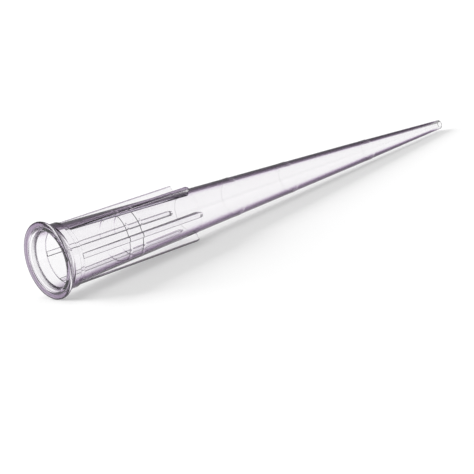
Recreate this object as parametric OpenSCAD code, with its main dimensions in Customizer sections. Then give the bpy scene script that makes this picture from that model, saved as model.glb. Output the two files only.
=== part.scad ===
// A 200 microlitre pipette tip, one thin moulding, lying as it comes to rest.
// The bore is drawn first, and the outside follows it by the thickness of each wall.
// Profiles are radius against distance from the mouth.

/* [Bore] */
// Diameter of the lead-in inside the mouth
lead_d = 5.6; // [5.58:0.02:5.8]
// Distance from the mouth to the end of the lead-in
lead_length = 1.85; // [1.2:0.05:3]
// Width of the chamfer round the mouth
chamfer_width = 0.2; // [0.1:0.01:0.22]
// Depth of the chamfer round the mouth
chamfer_depth = 0.28; // [0.1:0.02:0.4]
// Width of the shallow funnel inside the chamfer
funnel_width = 0.09; // [0.05:0.01:0.12]
// Distance from the mouth to the step at the narrow end of the funnel
funnel_depth = 0.72; // [0.5:0.02:1]
// Width of the step from the funnel down to the lead-in
funnel_step = 0.06; // [0.02:0.01:0.08]
// Diameter at the start of the tapered socket
socket_d = 5.56; // [5.3:0.02:5.56]
// Diameter of the bore at the shoulder, where the socket ends
lumen_d = 3.9; // [3.6:0.02:4.2]
// Diameter of the bore where the taper steepens
knee_d = 1.9; // [1.6:0.02:2.2]
// Diameter of the orifice at the point
orifice_d = 0.52; // [0.4:0.01:0.7]

/* [Sealing beads] */
// Distance from the mouth to the first of the two beads that seal on the pipette
first_bead_at = 8.25; // [6:0.05:10]
// Distance from the first bead to the second
bead_spacing = 1.7; // [1:0.1:3]
// Length of the flat crest of a bead
bead_length = 0.2; // [0.1:0.05:0.4]
// Length of the slope on each side of the crest
bead_slope = 0.1; // [0.05:0.05:0.3]
// Height of a bead above the wall of the socket
bead_height = 0.04; // [0.02:0.01:0.1]

/* [Lengths] */
// Length along the axis, from the mouth to the point
tip_length = 50.65; // [48:0.05:60]
// Distance from the mouth to the shoulder
shoulder_at = 17.2; // [14:0.05:20]
// Distance from the point to where the taper steepens
knee_from_point = 12.5; // [11:0.5:16]

/* [Walls] */
// Wall between the lead-in and the neck
neck_wall = 0.43; // [0.35:0.01:0.55]
// Wall of the collar where it leaves the band
collar_wall = 0.32; // [0.25:0.01:0.5]
// Wall of the collar at the shoulder
shoulder_wall = 0.36; // [0.3:0.01:0.5]
// Step down in radius from the collar to the taper
shoulder_step = 0.06; // [0.02:0.01:0.15]
// Wall where the taper steepens
knee_wall = 0.235; // [0.2:0.005:0.4]
// Wall at the point
point_wall = 0.2; // [0.15:0.01:0.3]

/* [Rim and band] */
// Height of the rim above the neck
rim_height = 0.69; // [0.6:0.01:1]
// Radius of the rounded lip
lip_r = 0.2; // [0.12:0.01:0.24]
// Radius of the cove at the bottom of the groove between the rim and the band
cove_r = 0.35; // [0.25:0.05:0.45]
// Height of the band above the neck
band_height = 0.09; // [0.05:0.01:0.3]
// Length of the band
band_length = 1.12; // [0.8:0.02:1.3]

/* [Ribs] */
// Number of ribs round the collar
rib_count = 6; // [4:2:8]
// Width of a rib
rib_width = 0.55; // [0.4:0.05:0.8]
// Step down from the band to the crests of the ribs
rib_drop = 0.06; // [0.02:0.01:0.1]
// Height of a rib's end above the shoulder
rib_end_height = 0.82; // [0.6:0.02:1]
// Gap between the rib ends and the shoulder
rib_end_gap = 0.3; // [0.1:0.05:3]

/* [Marks] */
// Distance from the point to the 10 microlitre mark
mark_10 = 9.9; // [8:0.1:11]
// Distance from the point to the 50 microlitre mark
mark_50 = 20.5; // [19:0.1:22]
// Distance from the point to the 100 microlitre mark
mark_100 = 27.7; // [26:0.1:29]
// Length over which the wall swells towards a mark
mark_swell = 1; // [0.5:0.1:1.5]
// Height of the small step down that is the mark
mark_step = 0.03; // [0.02:0.01:0.1]

/* [Hidden] */
$fn = 96;

lead_radius = lead_d / 2;
funnel_end_radius = lead_radius + funnel_step;
funnel_radius = funnel_end_radius + funnel_width;
mouth_radius = funnel_radius + chamfer_width;
socket_radius = socket_d / 2;
lumen_radius = lumen_d / 2;
knee_radius = knee_d / 2;
orifice_radius = orifice_d / 2;

neck_radius = lead_radius + neck_wall;
band_radius = neck_radius + band_height;
lip_center_radius = neck_radius + rim_height - lip_r;
collar_radius = socket_radius + collar_wall;
shoulder_radius = lumen_radius + shoulder_wall;
taper_radius = shoulder_radius - shoulder_step;
taper_knee_radius = knee_radius + knee_wall;
point_radius = orifice_radius + point_wall;

// The flange is a little thicker than its rounded lip, which leaves a fine parting line.
// The cove starts at the back of the flange, is lowest at the neck and rises to the band.
flange_back = 2.1 * lip_r;
cove_center_radius = neck_radius + cove_r;
cove_foot_radius = min(cove_center_radius, lip_center_radius);
neck_at = 2 * lip_r + cove_r;
band_start = neck_at + sqrt(pow(cove_r, 2) - pow(cove_r - band_height, 2));
band_end = band_start + band_length;

beads = [first_bead_at, first_bead_at + bead_spacing];
knee_at = tip_length - knee_from_point;
marks = [for (m = [mark_100, mark_50, mark_10]) tip_length - m];

// Ribs start inside the band and are rooted at the radius of the bore's narrow end.
rib_start = band_end - band_length / 2;
rib_end = shoulder_at - rib_end_gap;
rib_root = lumen_radius;
rib_start_radius = band_radius - rib_drop;
rib_end_radius = shoulder_radius + rib_end_height;
rib_spacing = 360 / rib_count;

// The bore runs past the faces that it opens through.
overrun = 1;

// Radius of a straight cone at a distance from the mouth.
function cone(at, start, start_radius, end, end_radius) =
    start_radius + (end_radius - start_radius) * (at - start) / (end - start);

// Radius of the plain wall of the socket at a distance from the mouth.
function socket_at(at) = cone(at, lead_length, socket_radius, shoulder_at, lumen_radius);

// Radius of the outside of the taper at a distance from the mouth.
function taper_at(at) = at < knee_at
    ? cone(at, shoulder_at, taper_radius, knee_at, taper_knee_radius)
    : cone(at, knee_at, taper_knee_radius, tip_length, point_radius);

// The tip rests on its lip and on the ends of the two lowest ribs,
// or on its lip and its point where the ribs are too low to touch.
rib_contact_at = rib_end - rib_width / 2;
rib_reach = cone(rib_contact_at, band_end, rib_start_radius, rib_end, rib_end_radius)
    * cos(rib_spacing / 2) + rib_width / 2 * sin(rib_spacing / 2);

function tilt_onto(at, reach) = atan2(lip_center_radius - reach, at - lip_r)
    + asin(lip_r / norm([at - lip_r, lip_center_radius - reach]));

rest_tilt = min(tilt_onto(rib_contact_at, rib_reach), tilt_onto(tip_length, point_radius));
rest_height = lip_r * sin(rest_tilt) + lip_center_radius * cos(rest_tilt) + lip_r;
back_x = lip_r * cos(rest_tilt) - lip_center_radius * sin(rest_tilt) - lip_r;
point_x = tip_length * cos(rest_tilt) + point_radius * sin(rest_tilt);

// Outside of the rim: a rounded lip on a flat-backed flange.
module rim_profile() {
    square([lip_center_radius, flange_back]);
    translate([lip_center_radius, lip_r]) circle(lip_r);
}

// Outside from the rim to the point, with the cove cut in front of the band. The wall swells
// a little up to each mark and then steps back, so that the mark is one fine circle.
module wall_profile() {
    difference() {
        polygon([
            [0, 0], [cove_foot_radius, 0], [cove_foot_radius, neck_at],
            [band_radius, neck_at], [band_radius, band_end], [collar_radius, band_end],
            [shoulder_radius, shoulder_at], [taper_radius, shoulder_at],
            [taper_knee_radius, knee_at], [point_radius, tip_length], [0, tip_length]
        ]);
        translate([cove_center_radius, neck_at]) circle(cove_r);
    }
    for (at = marks)
        polygon([
            [0, at - mark_swell], [taper_at(at - mark_swell), at - mark_swell],
            [taper_at(at) + mark_step, at], [0, at]
        ]);
}

// Section of a bead: a slope, a flat crest and a slope back to the wall of the socket.
function bead_points(at) = let (
    crest_radius = socket_at(at) - bead_height,
    crest_start = at - bead_length / 2,
    crest_end = at + bead_length / 2
) [
    [socket_at(crest_start - bead_slope), crest_start - bead_slope],
    [crest_radius, crest_start], [crest_radius, crest_end],
    [socket_at(crest_end + bead_slope), crest_end + bead_slope]
];

// Everything that is hollow, from the mouth through the socket to the orifice.
module bore_profile() {
    polygon([
        [0, -overrun], [mouth_radius, -overrun], [mouth_radius, 0],
        [funnel_radius, chamfer_depth], [funnel_end_radius, funnel_depth],
        [lead_radius, funnel_depth], [lead_radius, lead_length],
        [socket_radius, lead_length],
        for (at = beads) each bead_points(at),
        [lumen_radius, shoulder_at], [knee_radius, knee_at], [orifice_radius, tip_length],
        [orifice_radius, tip_length + overrun], [0, tip_length + overrun]
    ]);
}

// A rib seen from outside: straight sides and a round end towards the point.
module rib_plan() {
    translate([-rib_width / 2, rib_start])
        square([rib_width, rib_contact_at - rib_start]);
    translate([0, rib_contact_at])
        circle(rib_width / 2);
}

// A rib seen from the side: its crest falls slowly from the band to its end.
module rib_side() {
    polygon([
        [rib_root, rib_start], [rib_start_radius, rib_start], [rib_start_radius, band_end],
        [rib_end_radius, rib_end], [rib_root, rib_end]
    ]);
}

module rib() {
    intersection() {
        rotate([90, 0, 90]) linear_extrude(band_radius) rib_plan();
        rotate([90, 0, 0]) linear_extrude(rib_width, center = true) rib_side();
    }
}

// The moulding stands with its mouth down. The ribs are set half a spacing round, so that
// two of them share the load when it is laid down.
module moulding() {
    difference() {
        union() {
            rotate_extrude() rim_profile();
            rotate_extrude() wall_profile();
            for (i = [0 : rib_count - 1])
                rotate([0, 0, rib_spacing * (i + 0.5)]) rib();
        }
        rotate_extrude() bore_profile();
    }
}

module tip() {
    color([0.87, 0.85, 0.9, 0.6])
        translate([-(back_x + point_x) / 2, 0, rest_height])
            rotate([0, 90 + rest_tilt, 0])
                moulding();
}

tip();
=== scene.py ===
import math
import bmesh
import bpy
from mathutils import Matrix, Vector


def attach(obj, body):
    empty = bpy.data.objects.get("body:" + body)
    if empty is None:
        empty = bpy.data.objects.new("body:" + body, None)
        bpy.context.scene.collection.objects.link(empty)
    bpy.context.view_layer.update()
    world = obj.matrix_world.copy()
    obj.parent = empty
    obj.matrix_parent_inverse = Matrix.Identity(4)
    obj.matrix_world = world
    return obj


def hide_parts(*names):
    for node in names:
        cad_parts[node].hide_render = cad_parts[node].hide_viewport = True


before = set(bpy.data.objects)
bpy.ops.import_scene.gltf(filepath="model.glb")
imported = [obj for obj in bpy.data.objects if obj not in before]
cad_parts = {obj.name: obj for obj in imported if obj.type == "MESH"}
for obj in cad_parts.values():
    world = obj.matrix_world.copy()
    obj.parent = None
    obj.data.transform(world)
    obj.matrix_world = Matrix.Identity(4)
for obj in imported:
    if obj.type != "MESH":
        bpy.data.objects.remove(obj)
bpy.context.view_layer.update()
scene = bpy.context.scene
mm = 0.001


# Sizes of the moulding in millimetres; places are measured along the axis from the mouth.
sizes = {
    "length": 50.65,
    "shoulderAt": 17.2,
    "kneeAt": 38.15,
    "mouthRadius": 3.15,
    "chamferDepth": 0.28,
    "funnelRadius": 2.95,
    "funnelEndRadius": 2.86,
    "funnelDepth": 0.72,
    "leadRadius": 2.8,
    "leadEnd": 1.85,
    "socketRadius": 2.78,
    "lumenRadius": 1.95,
    "kneeBore": 0.95,
    "orificeRadius": 0.26,
    "beadsAt": (8.25, 9.95),
    "beadCrest": 0.2,
    "beadSlope": 0.1,
    "beadHeight": 0.04,
    "neckRadius": 3.23,
    "rimRadius": 3.92,
    "lipRound": 0.2,
    "flangeBack": 0.42,
    "coveRound": 0.35,
    "bandRadius": 3.32,
    "bandLength": 1.12,
    "collarRadius": 3.1,
    "shoulderRadius": 2.31,
    "taperRadius": 2.25,
    "kneeRadius": 1.185,
    "pointRadius": 0.46,
    "marksAt": (22.95, 30.15, 40.75),
    "markSwell": 1.0,
    "markStep": 0.03,
    "markRound": 0.01,
    # The painted edge shade is weaker near each mark, which leaves a pale painted nick in the dark edge
    # line.
    "markReach": 0.1,  # rows this near a mark get its own tone
    "markSide": 0.15,  # plain rows on both sides keep that tone narrow
    "pointRound": 0.06,
    "pointReach": 0.1,
    # The painted dark edge line fades towards the point.
    "pointFade": 1.5,  # the edge line starts to fade this far from the point
    "softEdge": 0.03,
    "bandEdge": 0.06,
    "bandFront": 0.06,
    "guard": 0.02,  # how far a guard point stands from its rounding
    "lipSteps": 12,
    "coveSteps": 24,
    "sharpAngle": 32,  # degrees; edges turned more than this are shaded sharp
}


def coneAt(at, start, startRadius, end, endRadius):
    return startRadius + (endRadius - startRadius) * (at - start) / (end - start)


def arcPoints(center, radius, first, last, steps):
    points = []
    for k in range(steps + 1):
        angle = math.radians(first + (last - first) * k / steps)
        points.append(Vector((center[0] + radius * math.cos(angle), center[1] + radius * math.sin(angle))))
    return points


# Corners are (radius, distance from the mouth, rounding); the first and last only aim the ends.
# A rounding takes at most a set share of each run, and the guard point on each side of it
# keeps the shading of the straight runs true.
def roundedPath(corners, steps=4, share=0.45):
    points = []
    for before, corner, after in zip(corners, corners[1:], corners[2:]):
        middle = Vector(corner[:2])
        if corner[2] == 0:
            points.append(middle)
            continue
        back = Vector(before[:2]) - middle
        ahead = Vector(after[:2]) - middle
        half = back.angle(ahead) / 2
        reach = min(corner[2] / math.tan(half), back.length * share, ahead.length * share)
        radius = reach * math.tan(half)
        center = middle + (back.normalized() + ahead.normalized()).normalized() * radius / math.sin(half)
        start = middle + back.normalized() * reach - center
        end = middle + ahead.normalized() * reach - center
        first = math.degrees(math.atan2(start.y, start.x))
        turn = (math.degrees(math.atan2(end.y, end.x)) - first + 180) % 360 - 180
        guard = min(sizes["guard"], reach / 2)
        points.append(middle + back.normalized() * (reach + guard))
        points += arcPoints(center, radius, first, first + turn, steps)
        points.append(middle + ahead.normalized() * (reach + guard))
    return points


# Places that follow from the sizes; neckAt is the middle of the cove behind the flange.
lipCenter = sizes["rimRadius"] - sizes["lipRound"]
coveCenter = sizes["neckRadius"] + sizes["coveRound"]
neckAt = 2 * sizes["lipRound"] + sizes["coveRound"]
bandStart = neckAt + math.sqrt(sizes["coveRound"] ** 2 - (coveCenter - sizes["bandRadius"]) ** 2)
bandEnd = bandStart + sizes["bandLength"]


def collarAt(at):
    return coneAt(at, bandEnd, sizes["collarRadius"], sizes["shoulderAt"], sizes["shoulderRadius"])


def taperAt(at):
    if at < sizes["kneeAt"]:
        return coneAt(at, sizes["shoulderAt"], sizes["taperRadius"], sizes["kneeAt"], sizes["kneeRadius"])
    return coneAt(at, sizes["kneeAt"], sizes["kneeRadius"], sizes["length"], sizes["pointRadius"])


def socketAt(at):
    return coneAt(at, sizes["leadEnd"], sizes["socketRadius"], sizes["shoulderAt"], sizes["lumenRadius"])


# The rim: a round lip on a flat-backed flange, then the cove down to the neck and up to the band.
def rimPath():
    lip = arcPoints((lipCenter, sizes["lipRound"]), sizes["lipRound"], -90, 90, sizes["lipSteps"])
    drop = neckAt - sizes["flangeBack"]
    foot = Vector((coveCenter - math.sqrt(sizes["coveRound"] ** 2 - drop ** 2), sizes["flangeBack"]))
    back = [Vector((lipCenter, sizes["flangeBack"])), foot + Vector((sizes["guard"], 0))]
    first = math.degrees(math.atan2(-drop, foot.x - coveCenter))
    last = math.degrees(math.atan2(bandStart - neckAt, sizes["bandRadius"] - coveCenter))
    cove = arcPoints(
        (coveCenter, neckAt), sizes["coveRound"], first % 360, last % 360, sizes["coveSteps"]
    )
    band = roundedPath([
        (*cove[-2], 0),
        (sizes["bandRadius"], bandStart, sizes["bandFront"]),
        (sizes["bandRadius"], bandEnd, sizes["bandEdge"]),
        (sizes["collarRadius"], bandEnd, 0),
    ])
    return lip + back + cove[:-1] + band


# From the collar's end over the shoulder and down the taper; each mark is a swell and a small step.
def taperPath(start):
    soft = sizes["softEdge"]
    corners = [
        (collarAt(start), start, 0),
        (sizes["shoulderRadius"], sizes["shoulderAt"], soft),
        (sizes["taperRadius"], sizes["shoulderAt"], soft),
    ]
    knee = [(sizes["kneeRadius"], sizes["kneeAt"], 0)]
    for at in sizes["marksAt"]:
        swell = at - sizes["markSwell"]
        if knee and swell > sizes["kneeAt"]:
            corners.append(knee.pop())
        crest = taperAt(at) + sizes["markStep"]
        side = sizes["markSide"]
        corners.append((taperAt(swell), swell, 0))
        corners.append((coneAt(at - side, swell, taperAt(swell), at, crest), at - side, 0))
        corners.append((crest, at, sizes["markRound"]))
        corners.append((taperAt(at), at, sizes["markRound"]))
        corners.append((taperAt(at + side), at + side, 0))
    fade = sizes["length"] - sizes["pointFade"]
    corners.append((taperAt(fade), fade, 0))
    corners.append((sizes["pointRadius"], sizes["length"], sizes["pointRound"]))
    corners.append((sizes["orificeRadius"], sizes["length"], 0))
    return roundedPath(corners)


# Back up the bore from the orifice to the chamfer round the mouth.
def borePath():
    soft = sizes["softEdge"]
    corners = [
        (sizes["pointRadius"], sizes["length"], 0),
        (sizes["orificeRadius"], sizes["length"], soft),
        (sizes["kneeBore"], sizes["kneeAt"], 0),
        (sizes["lumenRadius"], sizes["shoulderAt"], 0),
    ]
    for at in reversed(sizes["beadsAt"]):
        crest = socketAt(at) - sizes["beadHeight"]
        half = sizes["beadCrest"] / 2
        foot = half + sizes["beadSlope"]
        corners.append((socketAt(at + foot), at + foot, soft))
        corners.append((crest, at + half, soft))
        corners.append((crest, at - half, soft))
        corners.append((socketAt(at - foot), at - foot, soft))
    corners.append((sizes["socketRadius"], sizes["leadEnd"], soft))
    corners.append((sizes["leadRadius"], sizes["leadEnd"], soft))
    corners.append((sizes["leadRadius"], sizes["funnelDepth"], soft))
    corners.append((sizes["funnelEndRadius"], sizes["funnelDepth"], soft))
    corners.append((sizes["funnelRadius"], sizes["chamferDepth"], soft))
    corners.append((sizes["mouthRadius"], 0, soft))
    corners.append((lipCenter, 0, 0))
    return roundedPath(corners)


# Sizes of the ribs round the collar, in millimetres.
ribSizes = {
    "count": 6,
    "width": 0.55,
    "startRadius": 3.26,
    "endRadius": 3.13,
    "endGap": 0.3,
    "edge": 0.12,  # rounding along the crest
    "lowEdge": 0.6,  # share of the height that it may take where a rib is low
    "past": 1.15,  # where the rows next to the rounding stand, in roundings
    "edgeSteps": 4,
    "across": 8,  # columns over a rib
    "between": 22,  # columns between two ribs
    "rows": 14,
    "pastEnd": 0.08,  # the first full row beyond the ribs
}
ribHalf = ribSizes["width"] / 2
ribEnd = sizes["shoulderAt"] - ribSizes["endGap"]
ribBend = ribEnd - ribHalf
spacing = 2 * math.pi / ribSizes["count"]
across = ribSizes["across"]
perSector = across + ribSizes["between"]
columns = ribSizes["count"] * perSector


def crestAt(at):
    return coneAt(at, bandEnd, ribSizes["startRadius"], ribEnd, ribSizes["endRadius"])


# How far a rib's column stands from its middle, from -1 to 1, closer together at the sides.
def ribSway(j):
    return math.sin(math.pi * (j / across - 0.5))


def columnAngles(radius):
    half = math.asin(ribHalf / radius)
    angles = []
    for k in range(ribSizes["count"]):
        middle = spacing * (k + 0.5)
        for j in range(across + 1):
            angles.append(middle + math.asin(ribSway(j) * ribHalf / radius))
        for j in range(1, ribSizes["between"]):
            angles.append(middle + half + (spacing - 2 * half) * j / ribSizes["between"])
    return angles


# The axis lies along X here, and angles are turned from straight down.
def onWall(radius, angle, at):
    return Vector((at, radius * math.sin(angle), -radius * math.cos(angle)))


def boreAt(at):
    if at < sizes["shoulderAt"]:
        return socketAt(at)
    if at < sizes["kneeAt"]:
        return coneAt(at, sizes["shoulderAt"], sizes["lumenRadius"], sizes["kneeAt"], sizes["kneeBore"])
    return coneAt(at, sizes["kneeAt"], sizes["kneeBore"], sizes["length"], sizes["orificeRadius"])


# How readily the painted edge shade darkens the outer wall; on the plain wall the painted dark line is as
# wide as the wall is thick. The rim and rib crests take more of this painted shade, and the rib sides, the
# marks and the point take less; ribFrost is the ribs' roughness.
paintedShadeAndFrost = {
    "rim": 1.2,
    "rib": 1.25,
    "ribSide": 0.4,
    "ribFrost": 0.35,
    "lineTurn": 0.6,  # a larger value widens the dark line along the whole wall
    "slope": 0.85,  # how much a thick wall widens it
    "most": 1.35,
    "mark": 0.5,
    "point": 0.7,
}


def paintedShadeAt(radius, at):
    if at < neckAt:
        return paintedShadeAndFrost["rim"]
    if at > sizes["length"] - sizes["pointReach"]:
        return paintedShadeAndFrost["point"]
    if min(abs(at - mark) for mark in sizes["marksAt"]) < sizes["markReach"]:
        return paintedShadeAndFrost["mark"]
    depth = math.sqrt(1 - (boreAt(at) / radius) ** 2)
    return min(paintedShadeAndFrost["lineTurn"] / (1 - paintedShadeAndFrost["slope"] * depth), paintedShadeAndFrost["most"])


# The foot of a rib's round end on the collar's wall, for one column.
def ribEndSpot(column):
    j = column % perSector
    at = ribBend + ribHalf * math.cos(math.pi * (j / across - 0.5))
    wall = collarAt(at)
    middle = spacing * (column // perSector + 0.5)
    return onWall(wall, middle + math.asin(ribSway(j) * ribHalf / wall), at)


# The wall inside and out, row by row, left open under the ribs.
def buildGrid(mesh, rows, collarRow, ribRow, boreRow):
    soft = sizes["softEdge"]
    paintedShadeWeight = mesh.verts.layers.float.new("outerSkin")
    frost = mesh.verts.layers.float.new("frosted")
    grid = []
    for i, (radius, at) in enumerate(rows):
        angles = columnAngles(min(max(radius, sizes["shoulderRadius"]), sizes["collarRadius"]))
        line = []
        for c, angle in enumerate(angles):
            j = c % perSector
            if collarRow <= i < ribRow and 0 < j < across:
                line.append(None)
                continue
            if i == ribRow and j <= across:
                vert = mesh.verts.new(ribEndSpot(c))
            else:
                vert = mesh.verts.new(onWall(radius, angle, at))
            # Outer rows carry the weight of the painted edge shade; the bore rows carry none.
            vert[paintedShadeWeight] = 0.0 if boreRow <= i < len(rows) - 1 else paintedShadeAt(radius, at)
            inFunnel = sizes["chamferDepth"] < at < sizes["funnelDepth"] + soft / 2
            vert[frost] = 1.0 if i >= boreRow and inFunnel else 0.0
            line.append(vert)
        grid.append(line)
    for i in range(len(rows)):
        nextRow = (i + 1) % len(rows)
        for c in range(columns):
            nextColumn = (c + 1) % columns
            underRib = c % perSector < across
            if underRib and collarRow - 1 <= i < ribRow:
                continue
            mesh.faces.new([
                grid[i][c], grid[i][nextColumn], grid[nextRow][nextColumn], grid[nextRow][c],
            ])
    return grid, paintedShadeWeight, frost


# The rounding along the crest is smaller where the rib is still low.
def edgeAt(at):
    return min(ribSizes["edge"], ribSizes["lowEdge"] * (crestAt(at) - collarAt(at)))


# One loop round a rib: down its left side, round its end and back up the right.
def ribLoop(stations, inset):
    sides = [(at, ribHalf - inset * edgeAt(at)) for at in stations]
    half = ribHalf - inset * edgeAt(ribBend)
    loop = [(at, -sway) for at, sway in sides]
    for j in range(across + 1):
        turn = math.pi * (j / across - 0.5)
        loop.append((ribBend + half * math.cos(turn), half * math.sin(turn)))
    loop += [(at, sway) for at, sway in reversed(sides)]
    return loop


# A rib grows from the gap left for it, up its sides, over the rounding and across its crest.
def buildRib(mesh, grid, paintedShadeWeight, frost, index, rows, collarRow, ribRow):
    middle = spacing * (index + 0.5)
    outward = onWall(1, middle, 0)
    sideways = Vector((0, math.cos(middle), math.sin(middle)))
    first = index * perSector
    stations = [rows[i][1] for i in range(collarRow, ribRow)]
    foot = [grid[i][first] for i in range(collarRow, ribRow)]
    foot += [grid[ribRow][first + j] for j in range(across + 1)]
    foot += [grid[i][first + across] for i in range(ribRow - 1, collarRow - 1, -1)]
    loops = [foot]
    steps = ribSizes["edgeSteps"]
    profile = [(0, ribSizes["past"])]
    for k in range(steps + 1):
        turn = math.pi / 2 * k / steps
        profile.append((1 - math.cos(turn), 1 - math.sin(turn)))
    profile.append((ribSizes["past"], 0))
    for inset, drop in profile:
        loop = []
        for at, sway in ribLoop(stations, inset):
            height = crestAt(at) - drop * edgeAt(at)
            vert = mesh.verts.new(Vector((at, 0, 0)) + outward * height + sideways * sway)
            # The crest and its rounding take the stronger painted edge shade, and the sides a weaker one.
            vert[paintedShadeWeight] = paintedShadeAndFrost["rib"] if drop < 1 else paintedShadeAndFrost["ribSide"]
            vert[frost] = paintedShadeAndFrost["ribFrost"]
            loop.append(vert)
        loops.append(loop)
    for lower, upper in zip(loops, loops[1:]):
        for k in range(len(lower) - 1):
            mesh.faces.new([lower[k], lower[k + 1], upper[k + 1], upper[k]])
    crest = loops[-1]
    last = len(crest) - 1
    straight = len(stations)
    for k in range(straight - 1):
        mesh.faces.new([crest[k], crest[k + 1], crest[last - k - 1], crest[last - k]])
    mesh.faces.new(crest[straight - 1:last - straight + 2])
    bandFace = [grid[collarRow - 1][first + j] for j in range(across + 1)]
    mesh.faces.new(bandFace + [loop[-1] for loop in loops] + [loop[0] for loop in reversed(loops)])


# The tip lies on its lip and on the ends of its two lowest ribs: the floor touches the round
# of the lip and the corner at the end of those ribs, which gives the tilt.
def restPlace():
    ribReach = crestAt(ribBend) * math.cos(spacing / 2) + ribHalf * math.sin(spacing / 2)
    lip = sizes["lipRound"]
    run = ribBend - lip
    drop = lipCenter - ribReach
    tilt = math.atan2(drop, run) + math.asin(lip / math.hypot(run, drop))
    height = lip * math.sin(tilt) + lipCenter * math.cos(tilt) + lip
    backX = lip * math.cos(tilt) - lipCenter * math.sin(tilt) - lip
    frontX = sizes["length"] * math.cos(tilt) + sizes["pointRadius"] * math.sin(tilt)
    print("the tip rests at", round(math.degrees(tilt), 2), "degrees")
    shift = Matrix.Translation((-(backX + frontX) / 2, 0, height))
    return Matrix.Scale(mm, 4) @ shift @ Matrix.Rotation(tilt, 4, "Y")


def buildTip():
    rows = [tuple(p) for p in rimPath()]
    rows.append((sizes["collarRadius"], bandEnd))
    collarRow = len(rows) - 1
    for k in range(1, ribSizes["rows"] + 1):
        at = bandEnd + (ribBend - bandEnd) * k / ribSizes["rows"]
        rows.append((collarAt(at), at))
    ribRow = len(rows) - 1
    pastRib = ribEnd + ribSizes["pastEnd"]
    rows.append((collarAt(pastRib), pastRib))
    rows += [tuple(p) for p in taperPath(pastRib)]
    boreRow = len(rows)
    rows += [tuple(p) for p in borePath()]
    print("profile of", len(rows), "rows")
    mesh = bmesh.new()
    grid, paintedShadeWeight, frost = buildGrid(mesh, rows, collarRow, ribRow, boreRow)
    for index in range(ribSizes["count"]):
        buildRib(mesh, grid, paintedShadeWeight, frost, index, rows, collarRow, ribRow)
    bmesh.ops.recalc_face_normals(mesh, faces=mesh.faces[:])
    print("open edges", sum(len(edge.link_faces) != 2 for edge in mesh.edges))
    for face in mesh.faces:
        face.smooth = True
    for edge in mesh.edges:
        edge.smooth = edge.calc_face_angle(0) < math.radians(sizes["sharpAngle"])
    mesh.transform(restPlace())
    data = bpy.data.meshes.new("tipMoulding")
    mesh.to_mesh(data)
    mesh.free()
    piece = bpy.data.objects.new("tip_moulding", data)
    scene.collection.objects.link(piece)
    print("moulding of", len(data.polygons), "faces")
    return piece


# A node's output that can be used in sums; each operator adds a Math node.
class Wire:
    def __init__(self, board, socket):
        self.board = board
        self.socket = socket

    def join(self, operation, first, second):
        return self.board.add("ShaderNodeMath", {"operation": operation}, {0: first, 1: second}, 0)

    def __add__(self, other):
        return self.join("ADD", self, other)

    def __radd__(self, other):
        return self.join("ADD", other, self)

    def __mul__(self, other):
        return self.join("MULTIPLY", self, other)

    def __rmul__(self, other):
        return self.join("MULTIPLY", other, self)


# One material or world; add() makes any node, sets it up and plugs in values or wires.
class Board:
    def __init__(self, owner):
        owner.use_nodes = True
        self.tree = owner.node_tree
        self.tree.nodes.clear()

    def add(self, kind, settings, inputs, output=0):
        node = self.tree.nodes.new(kind)
        for name, value in settings.items():
            if name == "stops":
                self.setStops(node.color_ramp, value)
            else:
                setattr(node, name, value)
        for name, value in inputs.items():
            if isinstance(value, Wire):
                self.tree.links.new(value.socket, node.inputs[name])
            else:
                node.inputs[name].default_value = value
        if len(node.outputs) > 0:
            return Wire(self, node.outputs[output])

    def setStops(self, ramp, stops):
        while len(ramp.elements) < len(stops):
            ramp.elements.new(1)
        for element, (position, colour) in zip(ramp.elements, stops):
            element.position = position
            element.color = (*colour, 1)


plastic = {
    "ior": 1.49,
    # The painted edge shade darkens a face seen from inside sooner than one seen from outside.
    "insideShadeGain": 1.6,  # how much sooner a face seen from inside darkens
    # Painted edge shade: the base colour runs from clear to dark purple as a face turns edge on.
    "paintedEdgeShadeStops": (  # from a face seen square on to one seen edge on
        (0.385, (0.99, 0.985, 0.99)),
        (0.445, (0.90, 0.86, 0.92)),
        (0.505, (0.57, 0.475, 0.61)),
        (0.565, (0.31, 0.23, 0.345)),
        (0.625, (0.17, 0.12, 0.20)),
        (0.725, (0.095, 0.06, 0.11)),
    ),
    "absorption": (0.74, 0.68, 0.80),
    "density": 170,
    "haze": (0.02, 0.06),  # least and most roughness
    "hazeScale": 400,
    "hazeDetail": 3,
    "frost": 0.5,  # roughness added where the skin is frosted
}


# Clear natural polypropylene with a faint purple absorption. Its base colour is painted dark purple where
# a face is seen edge on: a painted shade for the dark surroundings seen through the edges.
def clearPolypropylene():
    material = bpy.data.materials.new("clearPolypropylene")
    board = Board(material)
    facing = board.add("ShaderNodeLayerWeight", {}, {"Blend": 0.5}, "Facing")
    inside = board.add("ShaderNodeNewGeometry", {}, {}, "Backfacing")
    paintedShadeWeight = board.add("ShaderNodeAttribute", {"attribute_name": "outerSkin"}, {}, "Fac")
    slant = facing * (1 + plastic["insideShadeGain"] * inside)
    paintedEdgeColour = board.add("ShaderNodeValToRGB", {"stops": plastic["paintedEdgeShadeStops"]}, {"Fac": slant * paintedShadeWeight})
    where = board.add("ShaderNodeTexCoord", {}, {}, "Object")
    cloud = board.add("ShaderNodeTexNoise", {}, {
        "Vector": where,
        "Scale": plastic["hazeScale"],
        "Detail": plastic["hazeDetail"],
    }, "Fac")
    low, high = plastic["haze"]
    frosted = board.add("ShaderNodeAttribute", {"attribute_name": "frosted"}, {}, "Fac")
    shell = board.add("ShaderNodeBsdfPrincipled", {}, {
        "Base Color": paintedEdgeColour,
        "Roughness": low + (high - low) * cloud + plastic["frost"] * frosted,
        "IOR": plastic["ior"],
        "Transmission Weight": 1.0,
    })
    smoke = board.add("ShaderNodeVolumeAbsorption", {}, {
        "Color": (*plastic["absorption"], 1),
        "Density": plastic["density"],
    })
    board.add("ShaderNodeOutputMaterial", {}, {"Surface": shell, "Volume": smoke})
    return material


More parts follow.
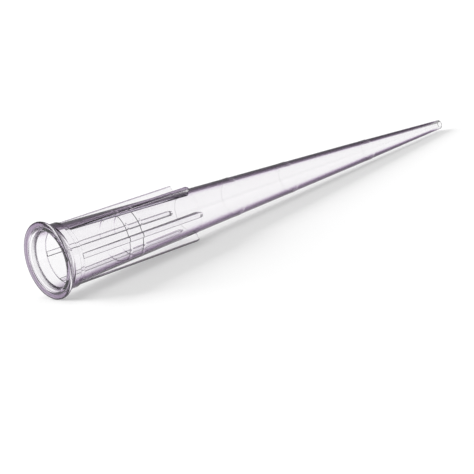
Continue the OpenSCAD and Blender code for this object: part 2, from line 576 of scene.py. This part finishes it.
tip = buildTip()
tip.data.materials.append(clearPolypropylene())
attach(tip, "root")
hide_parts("tip")
print("tip in place")


# Metres and watts; the top lamp puts a shadow under the tip and the key draws it out to one side.
studio = {
    "floorHalf": 3.0,
    "floorColour": (0.9, 0.9, 0.9, 1),
    "floorRough": 0.9,
    "paperGlow": 0.4,
    "room": (0.38, 0.38, 0.38, 1),
    "lamps": (
        {"name": "key", "place": (-0.18, 1.13, 0.46), "size": 0.8, "energy": 28},
        {"name": "top", "place": (0.03, 0.05, 0.9), "size": 0.6, "energy": 2.3},
    ),
}


# White paper that takes the shadow and glows a little to the camera, mirrors and clear plastic.
def paleFloor():
    half = studio["floorHalf"]
    data = bpy.data.meshes.new("floor")
    corners = [(-half, -half, 0), (half, -half, 0), (half, half, 0), (-half, half, 0)]
    data.from_pydata(corners, [], [(0, 1, 2, 3)])
    floor = bpy.data.objects.new("floor", data)
    scene.collection.objects.link(floor)
    material = bpy.data.materials.new("floorPaper")
    board = Board(material)
    paper = board.add("ShaderNodeBsdfPrincipled", {}, {
        "Base Color": studio["floorColour"],
        "Roughness": studio["floorRough"],
        "Specular IOR Level": 0.0,
    })
    glow = board.add("ShaderNodeEmission", {}, {"Color": (1, 1, 1, 1), "Strength": 1.0})
    camera = board.add("ShaderNodeLightPath", {}, {}, "Is Camera Ray")
    glossy = board.add("ShaderNodeLightPath", {}, {}, "Is Glossy Ray")
    through = board.add("ShaderNodeLightPath", {}, {}, "Is Transmission Ray")
    seen = camera + glossy + through
    mixed = board.add("ShaderNodeMixShader", {}, {0: seen * studio["paperGlow"], 1: paper, 2: glow})
    board.add("ShaderNodeOutputMaterial", {}, {"Surface": mixed})
    data.materials.append(material)


def softLight():
    world = bpy.data.worlds.new("studio")
    scene.world = world
    board = Board(world)
    sky = board.add("ShaderNodeBackground", {}, {"Color": studio["room"], "Strength": 1.0})
    board.add("ShaderNodeOutputWorld", {}, {"Surface": sky})
    for spec in studio["lamps"]:
        light = bpy.data.lights.new(spec["name"], "AREA")
        light.energy = spec["energy"]
        light.size = spec["size"]
        lamp = bpy.data.objects.new(spec["name"], light)
        lamp.location = spec["place"]
        lamp.rotation_euler = (-lamp.location).to_track_quat("-Z", "Y").to_euler()
        lamp.visible_glossy = False
        lamp.visible_transmission = False
        scene.collection.objects.link(lamp)


paleFloor()
softLight()
print("floor and light ready")


# Angles in degrees, lengths in millimetres, and the clipping in metres.
eye = {
    "azimuth": -34.649,
    "elevation": 13.007,
    "roll": 15.18,
    "target": (-2.7576, 0.338, -1.6833),
    "distance": 373.4,
    "lens": 283.8,
    "clip": (0.01, 20),
}


def setCamera():
    data = bpy.data.cameras.new("camera")
    data.lens = eye["lens"]
    data.clip_start, data.clip_end = eye["clip"]
    camera = bpy.data.objects.new("camera", data)
    scene.collection.objects.link(camera)
    azimuth = math.radians(eye["azimuth"])
    elevation = math.radians(eye["elevation"])
    back = Vector((
        math.sin(azimuth) * math.cos(elevation),
        -math.cos(azimuth) * math.cos(elevation),
        math.sin(elevation),
    ))
    roll = Matrix.Rotation(-math.radians(eye["roll"]), 3, "Z").to_quaternion()
    camera.rotation_mode = "QUATERNION"
    camera.rotation_quaternion = (-back).to_track_quat("-Z", "Y") @ roll
    camera.location = (Vector(eye["target"]) + back * eye["distance"]) * mm
    scene.camera = camera


setCamera()
scene.view_settings.view_transform = "Standard"
print("camera set")
